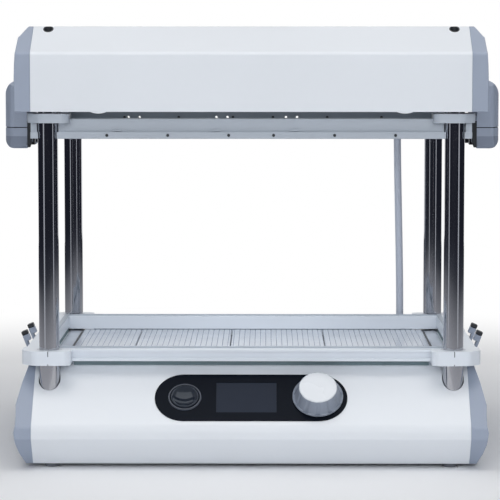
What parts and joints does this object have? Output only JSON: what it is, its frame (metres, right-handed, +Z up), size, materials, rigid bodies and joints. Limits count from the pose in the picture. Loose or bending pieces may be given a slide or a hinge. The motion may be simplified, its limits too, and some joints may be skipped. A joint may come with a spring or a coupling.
{
  "type": "desktop vacuum former",
  "caption": "Desktop sheet vacuum forming machine with a heater hood on posts, sliding clamp frames, gridded platen and a sloped control panel.",
  "frame": {"origin": "middle of the footprint, on the surface that the machine stands on", "axes": "+X to the user's right, +Y away from the user, +Z up"},
  "size_m": [0.444, 0.336, 0.379],
  "materials": {
    "white_paint": "satin powder coat",
    "grey_plastic": "fine moulded texture",
    "dark_plastic": "moulded",
    "panel_black": "gloss",
    "screen_glass": "dark display window",
    "chrome_post": "hard chrome, ground",
    "zinc_steel": "zinc plated",
    "bright_sheet": "bright sheet",
    "frame_white": "satin powder coat",
    "platen_white": "glossy enamel",
    "seal_rubber": "closed cell seal",
    "silicone": "silicone strip",
    "foot_rubber": "moulded",
    "bush_plastic": "plain bearing plastic",
    "dial_grey": "moulded grip",
    "dial_white": "satin",
    "cable_grey": "sheathed lead",
    "board_green": "solder mask",
    "ceramic": "glazed ceramic",
    "insulation": "fibre board",
    "brass": "turned",
    "black_steel": "blackened steel"
  },
  "bodies": {
    "base": {"base_shell": "white_paint", "side_panel_left": "grey_plastic", "side_panel_right": "grey_plastic", "base_tray": "zinc_steel", "rear_panel": "dark_plastic", "feet": "foot_rubber", "post_front_left": "chrome_post", "post_front_right": "chrome_post", "post_rear_left": "chrome_post", "post_rear_right": "chrome_post", "post_screws": "zinc_steel", "platen": "platen_white", "platen_surround": "platen_white", "deck_seal": "seal_rubber", "vacuum_plenum": "bright_sheet", "vacuum_hose": "foot_rubber", "pump_housing": "dark_plastic", "pump_motor": "zinc_steel", "power_supply": "bright_sheet", "control_board": "board_green", "control_bezel": "panel_black", "lcd_screen": "screen_glass", "button_ring": "panel_black", "button_switch": "dark_plastic", "encoder_housing": "zinc_steel", "power_inlet": "dark_plastic", "switch_frame": "dark_plastic", "head_cable": "cable_grey", "cable_glands": "cable_grey", "hood_shell": "white_paint", "hood_cap_left": "grey_plastic", "hood_cap_right": "grey_plastic", "hood_chassis": "zinc_steel", "hood_standoffs": "brass", "hood_screws": "black_steel", "screw_wells": "dark_plastic", "heater_reflector": "bright_sheet", "heater_elements": "ceramic", "insulation_board": "insulation", "temperature_probe": "zinc_steel"},
    "upper": {"upper_frame": "frame_white", "upper_bushings": "bush_plastic", "upper_seal": "silicone", "seal_rivets": "dark_plastic", "handle_left": "grey_plastic", "handle_right": "grey_plastic", "latch_keepers": "black_steel"},
    "lower": {"lower_frame": "frame_white", "lower_bushings": "bush_plastic", "lower_seal": "silicone", "latch_brackets": "zinc_steel"},
    "latch_left": {"latch_left": "grey_plastic"},
    "latch_right": {"latch_right": "grey_plastic"},
    "dial_rotor": {"encoder_rotor": "brass"},
    "dial": {"dial_shaft": "zinc_steel", "dial_knob": "dial_grey", "dial_cap": "dial_white"},
    "button": {"vacuum_button": "panel_black"},
    "rocker": {"power_rocker": "dark_plastic"},
    "impeller": {"pump_impeller": "bright_sheet"}
  },
  "joints": [
    {"name": "upper_frame_slide", "type": "slide", "parent": "base", "child": "upper", "axis": [0, 0, 1], "range_m": [-0.1805, 0]},
    {"name": "lower_frame_slide", "type": "slide", "parent": "base", "child": "lower", "axis": [0, 0, 1], "range_m": [0, 0.1805]},
    {"name": "latch_left_pivot", "type": "hinge", "parent": "lower", "child": "latch_left", "pos_m": [-0.2004, 0.006, 0.0881], "axis": [0, -1, 0], "range_deg": [-22, 36]},
    {"name": "latch_right_pivot", "type": "hinge", "parent": "lower", "child": "latch_right", "pos_m": [0.2004, 0.006, 0.0881], "axis": [0, 1, 0], "range_deg": [-22, 36]},
    {"name": "dial_spin", "type": "hinge", "parent": "base", "child": "dial_rotor", "pos_m": [0.0575, -0.14445, 0.05992], "axis": [0, -0.688, 0.7257], "continuous": true},
    {"name": "dial_push", "type": "slide", "parent": "dial_rotor", "child": "dial", "axis": [0, -0.688, 0.7257], "range_m": [-0.0006, 0], "stiffness_N_per_m": 1500, "springref_m": 0.0008},
    {"name": "button_push", "type": "slide", "parent": "base", "child": "button", "axis": [0, -0.688, 0.7257], "range_m": [-0.002, 0], "stiffness_N_per_m": 600, "springref_m": 0.002},
    {"name": "power_rocker_tilt", "type": "hinge", "parent": "base", "child": "rocker", "pos_m": [-0.03, 0.163, 0.042], "axis": [1, 0, 0], "range_deg": [0, 14]},
    {"name": "impeller_spin", "type": "hinge", "parent": "base", "child": "impeller", "pos_m": [-0.07, 0.03, 0.04], "axis": [0, 0, 1], "continuous": true}
  ]
}
